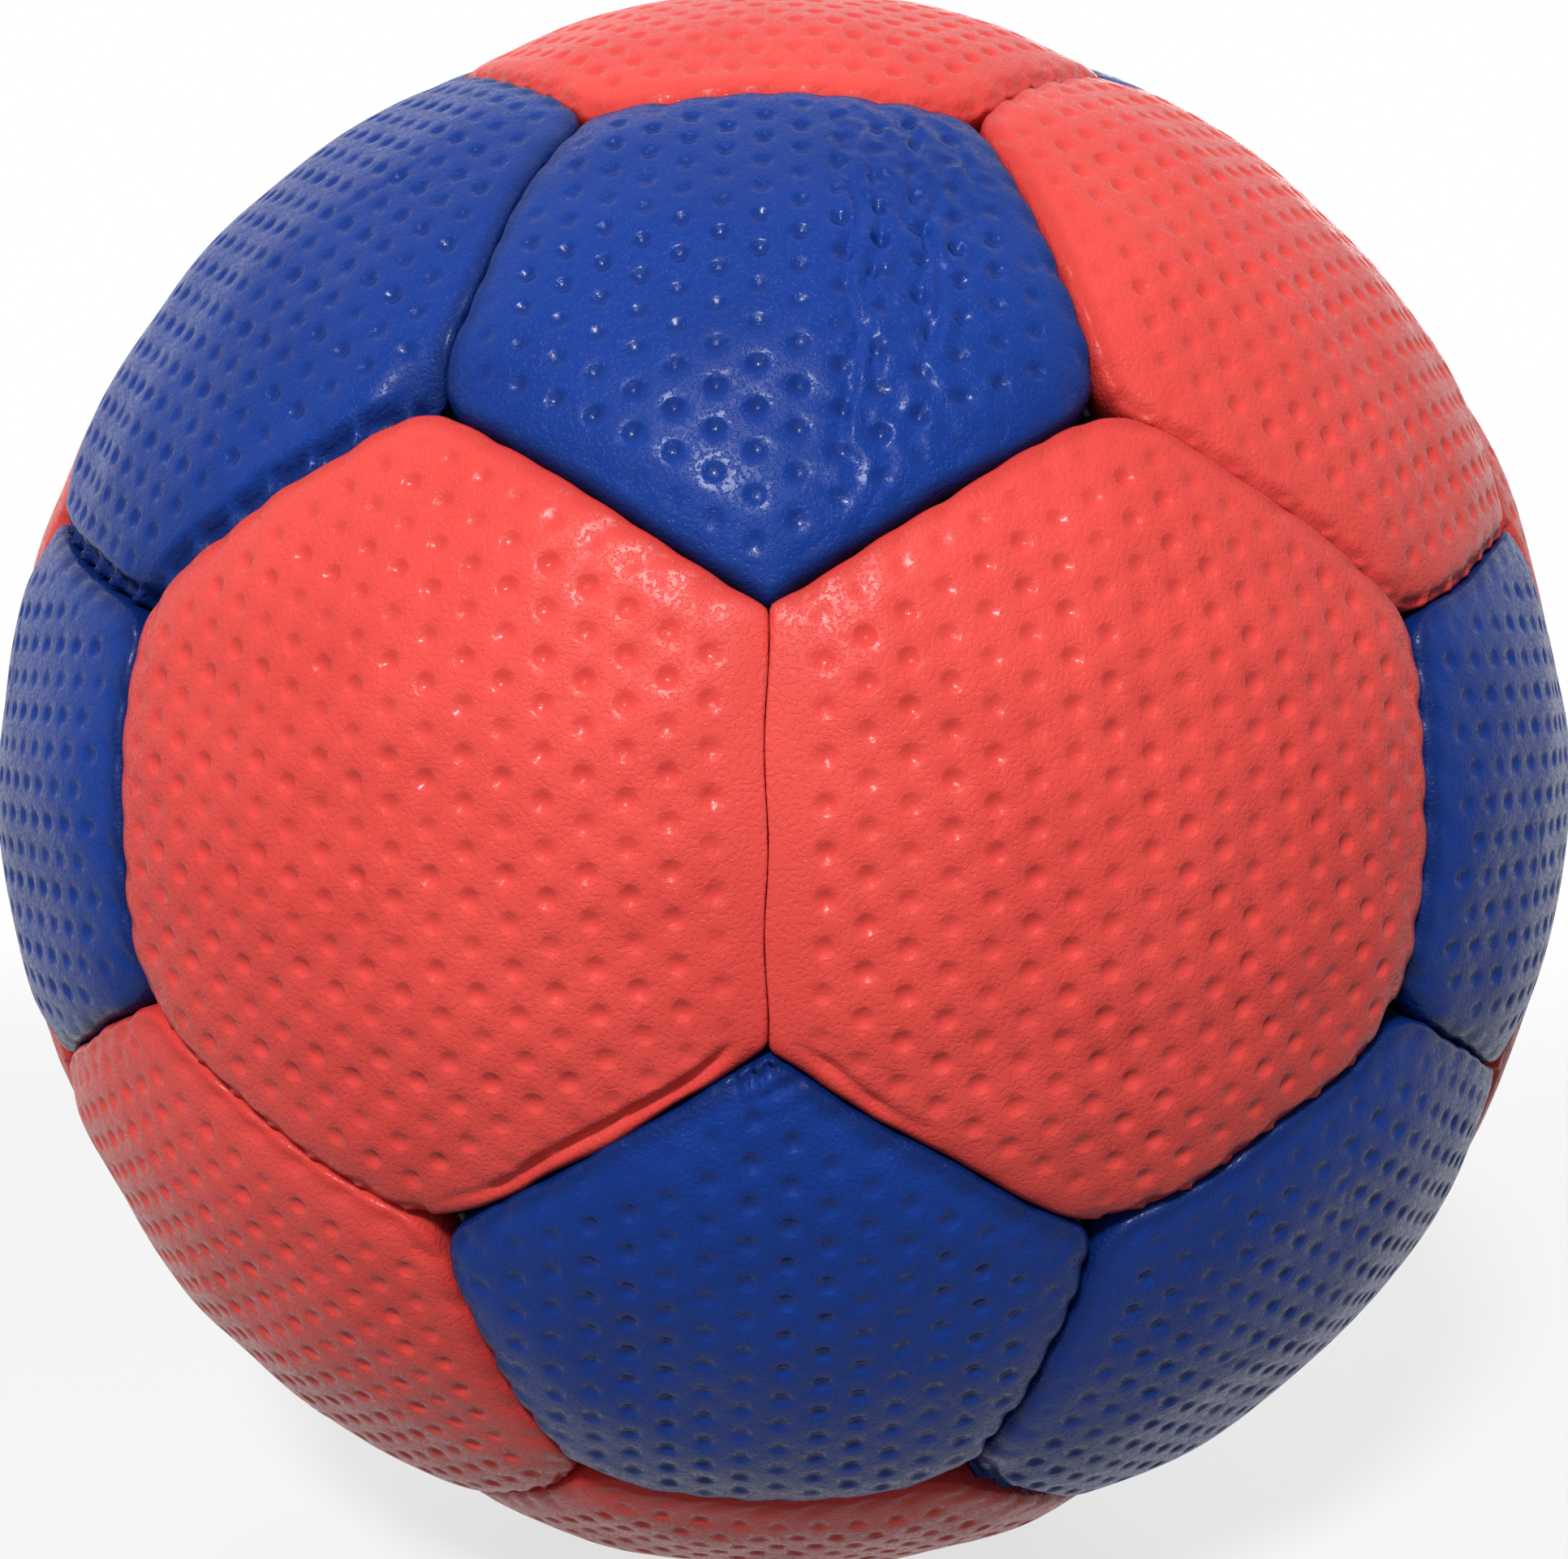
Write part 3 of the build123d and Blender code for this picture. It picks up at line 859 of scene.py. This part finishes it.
def joined_faces(panel, spots):
    """Triangles of the outer face."""
    edge = list(range(outline_points))
    points = [Vector(spot) for spot in spots.tolist()]
    made = delaunay_2d_cdt(points, [], [edge], 1, 1e-6)
    faces = np.array(made[2])
    assert len(made[0]) == len(spots), "two points of a panel fall together"
    if panel.hole:
        rim = (faces >= outline_points) & (faces < 2 * outline_points)
        faces = faces[~rim.all(1)]
    return faces


def panel_mesh(panel):
    """Points in millimetres, triangles, places in the flat pattern, and marks for painted shade and
    gloss.
    """
    count = outline_points
    spots = cover_spots(panel)
    radius, marks = cover_radius(panel, spots)
    faces = [joined_faces(panel, spots)]
    outer_count = len(spots)
    flats, below, last, total = [spots], [], 0, outer_count
    for number, (inset, depth) in enumerate(fold_rings):
        ring = panel.outline(inset, count)
        below.append((ring, np.minimum(depth, radius[:count] - fold_clear * (number + 1))))
        faces.append(ring_faces(last, total, count))
        flats.append(spots[:count] * (1 + fold_spread + fold_spread * number))
        last, total = total, total + count
    folded = sum(len(part) for part in faces)
    rings = [panel.outline(inset, count) for inset in pocket_rings]
    if panel.hole:
        rings[-1] = circle(panel.hole, count)
    for ring in rings:
        below.append((ring, crown_radius(panel, ring, cover_thickness)))
        faces.append(ring_faces(last, total, count))
        flats.append(ring)
        last, total = total, total + count
    if panel.hole:
        faces.append(ring_faces(last, count, count))
    else:
        below.append((np.zeros((1, 2)), np.array([ball - cover_thickness])))
        faces.append(fan(total, last, count, inward=True))
        flats.append(np.zeros((1, 2)))
    spots = np.concatenate([spots] + [ring for ring, _ in below])
    radius = np.concatenate([radius] + [depth for _, depth in below])
    unseen = np.zeros(len(spots) - outer_count)
    marks = {label: np.concatenate([mark, unseen]) for label, mark in marks.items()}
    points = panel.to_ball(panel.directions(spots)) * radius[:, None]
    faces = np.concatenate(faces)
    places = np.concatenate(flats)[faces]
    flat = places / pattern_size + 0.5
    flat[folded:] = places[folded:] / hidden_size + hidden_place
    return points, faces, flat, marks


def piece(name, points, faces, material, flat=None, marks=None):
    """A smooth mesh object from points in millimetres."""
    mesh = bpy.data.meshes.new(name)
    mesh.from_pydata((points * MM).tolist(), [], faces.tolist())
    mesh.shade_smooth()
    mesh.materials.append(material)
    if flat is not None:
        pattern = mesh.uv_layers.new(name="OFBake")
        pattern.uv.foreach_set("vector", flat.astype(np.float32).ravel())
    for label, values in (marks or {}).items():
        mark = mesh.attributes.new(label, "FLOAT", "POINT")
        mark.data.foreach_set("value", values.astype(np.float32))
    made = bpy.data.objects.new(name, mesh)
    bpy.context.scene.collection.objects.link(made)
    return made


# %% [markdown]
# ## The cover's finish
# The cover is coated cloth with a soft, slightly waxy skin. Its leathery grain is finer than half
# a millimetre, and the smooth tops of the grain break the highlight into specks. The colour is
# dyed right through, and painted shade darkens it near the seams and in the dimples, pockets and
# corner pits. The grain is a bump, because it is too fine for the mesh, while everything larger is
# real shape.

# %% Red and blue covers
# how far painted shade darkens the colour near the seams and in the hollows
seam_shade, hollow_shade = 0.75, 0.45
cover_gloss = 0.12
grain_height = 0.00006  # metres


def noise(start, place, scale, detail):
    return start.node("ShaderNodeTexNoise", inputs={"Vector": place, "Scale": scale, "Detail": detail})


def bumped(start, height, strength, distance):
    """A normal that is tilted by a height, for what is too fine for the mesh."""
    inputs = {"Strength": strength, "Distance": distance, "Height": height}
    return start.node("ShaderNodeBump", inputs=inputs, output="Normal")


def mark_of(start, label):
    return start.node("ShaderNodeAttribute", {"attribute_name": label}, output="Fac")


def cover_finish(name, colour, worn, deep):
    made, shader, start = new_material(name)
    place = start.node("ShaderNodeTexCoord", output="Object")
    cloudy = noise(start, place, 55.0, 3.0)
    pressed = mark_of(start, "pressed")
    tone = cloudy.step(0.35, 0.7).mix(colour, worn)
    # painted shade: the colour darkens towards deep near the seams, less at tightly sewn ones
    painted_seam_shade = 1 - mark_of(start, "seam_distance").step(0.2, 2.2)
    tone = (painted_seam_shade * seam_shade).mix(tone, deep)
    # painted shade in the hollows of the dimples, the pockets and the corner pits
    tone = (mark_of(start, "hollow") * hollow_shade).mix(tone, deep)
    tops = noise(start, place, 2300.0, 2.0).step(0.4, 0.5)
    pores = noise(start, place, 5000.0, 1.0)
    grain = (tops + pores * 0.25) * (1 - pressed * 0.7)
    skin = bumped(start, grain, 0.55, grain_height)
    rough = 0.37 + cloudy * 0.08 - tops * 0.13 - pressed * 0.1
    plug(shader, Base_Color=tone, Roughness=rough, Normal=skin, Specular_IOR_Level=cover_gloss)
    return made


# the third colour of each cover is the colour of its painted shade
covers = {
    "red": cover_finish("red_cover", paint(235, 81, 74), paint(228, 75, 69), paint(196, 54, 50)),
    "blue": cover_finish("blue_cover", paint(17, 57, 143), paint(15, 52, 133), paint(9, 30, 84)),
}
print(f"finishes: {', '.join(covers)}")

# %% Make the panels
triangles = 0
for panel in panels:
    colour = panel.name.split("_")[0]
    points, faces, flat, marks = panel_mesh(panel)
    cushion = piece(f"sewn_{panel.name}", points, faces, covers[colour], flat, marks)
    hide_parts(panel.name)
    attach(cushion, "root")
    triangles += len(faces)
print(f"{len(panels)} panels of {triangles} triangles")

# %% [markdown]
# ## Finishes of what is inside
# Thread, cloth and rubber hardly show on a finished ball, but they are made as they would look on
# a cut-open one. Thread and rubber need little more than a patchy colour and an uneven skin. A
# photograph of cloth would repeat, so the weave is drawn by waves on a chequered pattern.

# %% Thread, cloth and rubber
def plain_finish(name, colour, worn, rough, scale, bump):
    """Thread or rubber: patchy colour and a fine uneven skin."""
    made, shader, start = new_material(name)
    place = start.node("ShaderNodeTexCoord", output="Object")
    patches = noise(start, place, scale, 3.0)
    skin = bumped(start, patches, 0.4, bump)
    plug(shader, Base_Color=patches.mix(colour, worn), Roughness=rough + patches * 0.15, Normal=skin)
    return made


def yarns(start, flat, direction, pitch):
    """Bands of yarn that run one way."""
    settings = {"wave_type": "BANDS", "wave_profile": "SIN", "bands_direction": direction}
    return start.node("ShaderNodeTexWave", settings, {"Vector": flat, "Scale": pitch / 2}, 1)


def woven_finish(name, light, dark, pitch):
    """Plain weave: bands of warp and weft that take turns on top."""
    made, shader, start = new_material(name)
    flat = start.node("ShaderNodeUVMap", {"uv_map": "OFBake"})
    checks = start.node("ShaderNodeTexChecker", inputs={"Vector": flat, "Scale": pitch}, output="Fac")
    warp, weft = (yarns(start, flat, direction, pitch) for direction in "XY")
    yarn = checks * warp + (1 - checks) * weft
    skin = bumped(start, yarn, 0.5, 0.0002)
    plug(shader, Base_Color=yarn.mix(dark, light), Roughness=0.9 - yarn * 0.15, Normal=skin)
    return made


cloth = woven_finish("backing_cloth", paint(222, 216, 202), paint(172, 164, 146), 420.0)
inner_finishes = {  # colour, worn colour, roughness, scale of the patches, height of the skin
    "waxed_thread": (paint(44, 44, 52), paint(24, 24, 30), 0.5, 2500.0, 0.0001),
    "bladder_rubber": (paint(40, 38, 38), paint(28, 27, 27), 0.5, 400.0, 0.0001),
    "valve_rubber": (paint(34, 34, 36), paint(24, 24, 26), 0.42, 900.0, 0.00008),
    "core_rubber": (paint(58, 56, 55), paint(44, 42, 42), 0.48, 900.0, 0.00008),
}
inner = {name: plain_finish(name, *values) for name, values in inner_finishes.items()}
for node, finish in {"valve_housing": "valve_rubber", "valve_core": "core_rubber"}.items():
    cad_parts[node].data.materials.clear()
    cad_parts[node].data.materials.append(inner[finish])
print(f"finishes: {cloth.name}, {', '.join(inner)}")

# %% [markdown]
# ## The thread
# Each seam is closed by waxed thread of two twisted plies, which runs between the folded edges. A
# curve with a round bevel would look like wire. Here the section is pinched to a figure of eight,
# and it turns along the seam, as the plies do.

# %% Twisted thread
thread_radius = 0.43
thread_line = 82.05  # distance of the thread from the ball's centre
around, lengthwise = 10, 44
half_seam = radians(11.64)
strand_trim = 1.0  # at each end
twist_length = 3.2
ply_waist = 0.74  # thickness of the pinched section


def strand(panel, side):
    """One length of two-ply thread along a seam, between the folded edges of two panels."""
    reach = half_seam - strand_trim / thread_line
    swing = np.linspace(-reach, reach, lengthwise)
    middle, run = panel.seam_middle[side], panel.seam_run[side]
    line = np.cos(swing)[:, None] * middle + np.sin(swing)[:, None] * run
    aside = panel.seam_normal[side]
    turn = np.arange(around) * 2 * pi / around
    twist = swing * thread_line * 2 * pi / twist_length
    lobes = np.abs(np.cos(turn[None] - twist[:, None]))
    thick = thread_radius * (ply_waist + (1 - ply_waist) * lobes)
    out = line[:, None] * (thread_line + thick * np.cos(turn))[:, :, None]
    points = out + aside * (thick * np.sin(turn))[:, :, None]
    points = np.concatenate([points.reshape(-1, 3), line[[0, -1]] * thread_line])
    bands = [ring_faces(row * around, (row + 1) * around, around) for row in range(lengthwise - 1)]
    last = (lengthwise - 1) * around
    end = last + around
    caps = [fan(end, 0, around), fan(end + 1, last, around, inward=True)]
    return panel.to_ball(points), np.concatenate(bands + caps)[:, ::-1]


def gathered(parts):
    """Points and faces of several parts as one mesh."""
    points, faces = zip(*parts)
    starts = np.cumsum([0] + [len(part) for part in points])
    return np.concatenate(points), np.concatenate([f + s for f, s in zip(faces, starts)])


seams_done, strands = set(), []
for panel in panels:
    for side, middle in enumerate(panel.middles):
        key = tuple(np.round(middle, 3) + 0.0)
        if key not in seams_done:
            seams_done.add(key)
            strands.append(strand(panel, side))
sewing = piece("twisted_thread", *gathered(strands), inner["waxed_thread"])
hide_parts("seam_thread")
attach(sewing, "root")
print(f"{len(strands)} strands of thread")

# %% [markdown]
# ## The woven plies
# Behind each panel a ply of cloth is glued into the hollow, and stops the cover from stretching.
# It follows the outline a little further in. The plies lie side by side in one flat pattern, so
# that the weave has the same size on all of them.

# %% Woven plies
ply_points = 96
ply_rings = (2.5, 6.0, 13.0, 23.0)
ply_top, ply_bottom = 2.66, 3.84  # below the crown
plies_across = 5  # in the flat pattern
ply_cell = 84


def ply(panel, number):
    """One backing ply: points, faces and places in the flat pattern."""
    rings = [panel.outline(inset, ply_points) for inset in ply_rings]
    if panel.hole:
        rings[-1] = circle(panel.hole, ply_points)
    spots, depth = [], []
    for drop, order in ((ply_top, rings[::-1]), (ply_bottom, rings)):
        spots += order
        depth += [crown_radius(panel, ring, drop) for ring in order]
    total = ply_points * len(spots)
    starts = range(0, total - ply_points, ply_points)
    faces = [ring_faces(at + ply_points, at, ply_points)[:, ::-1] for at in starts]
    last = total - ply_points
    if panel.hole:
        faces.append(ring_faces(0, last, ply_points)[:, ::-1])
    else:
        faces += [fan(total, 0, ply_points), fan(total + 1, last, ply_points, inward=True)]
        spots.append(np.zeros((2, 2)))
        depth.append(np.array([ball - ply_top, ball - ply_bottom]))
    spots, depth = np.concatenate(spots), np.concatenate(depth)
    points = panel.to_ball(panel.directions(spots)) * depth[:, None]
    cell = np.array([number % plies_across, number // plies_across]) + 0.5
    return points, np.concatenate(faces), (spots / ply_cell + cell) / plies_across


for label, word in (("pentagon_backings", "pentagon"), ("hexagon_backings", "hexagon")):
    chosen = [panel for panel in panels if word in panel.name]
    made = [ply(panel, number) for number, panel in enumerate(chosen)]
    points, faces = gathered([(points, faces) for points, faces, _ in made])
    flat = np.concatenate([places for _, _, places in made])[faces]
    plies = piece(f"woven_{label}", points, faces, cloth, flat)
    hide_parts(label)
    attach(plies, "root")
    print(f"{label}: {len(made)} plies")

# %% [markdown]
# ## The bladder and its patch
# The bladder is a rubber balloon with a faint ridge where the halves of its mould met, and a patch
# whose edge thins out spreads the valve's pull over it. Both are round, so they are spun from a
# profile about the valve's axis, as on a lathe.

# %% Moulded bladder
stem_hole = 5.1
bladder_out, bladder_in = 80.55, 79.55
mould_ridge, ridge_reach = 0.15, 0.8
far_pole = pi - 0.002


def spun(name, profile, material, count):
    """A round piece from a closed profile of distances from the valve's axis and heights on it."""
    panel = next(panel for panel in panels if panel.hole)
    reach, height = np.array(profile).T
    flat = reach[:, None, None] * circle(1.0, count)[None]
    heights = np.broadcast_to(height[:, None, None], flat.shape[:2] + (1,))
    points = np.concatenate([flat, heights], 2).reshape(-1, 3)
    rows = len(profile)
    faces = [ring_faces(row * count, (row + 1) % rows * count, count) for row in range(rows)]
    return piece(name, panel.to_ball(points), np.concatenate(faces), material)


def arc(radius, first, last, steps, ridge=0.0):
    """Points of a profile along a sphere, with an optional moulded ridge at its widest."""
    lean = np.linspace(first, last, steps)
    bulge = radius + ridge * np.exp(-(((lean - pi / 2) * radius / ridge_reach) ** 2))
    return list(zip(bulge * np.sin(lean), bulge * np.cos(lean)))


outside = arc(bladder_out, asin(stem_hole / bladder_out), far_pole, 90, ridge=mould_ridge)
inside_wall = arc(bladder_in, far_pole, asin(stem_hole / bladder_in), 60)
balloon = spun("moulded_bladder", outside + inside_wall, inner["bladder_rubber"], 120)
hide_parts("bladder")
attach(balloon, "root")
print(f"bladder of {len(balloon.data.polygons)} faces")

# %% Feathered patch
patch_low, patch_high = 80.6, 81.4
foot_edge, top_edge = 21.0, 20.0

lower = arc(patch_low, asin(foot_edge / patch_low), asin(stem_hole / patch_low), 16)
upper = arc(patch_high, asin(stem_hole / patch_high), asin(top_edge / patch_high), 16)
patch = spun("feathered_patch", lower + upper, inner["bladder_rubber"], 96)
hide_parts("valve_patch")
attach(patch, "root")
print(f"patch of {len(patch.data.polygons)} faces")
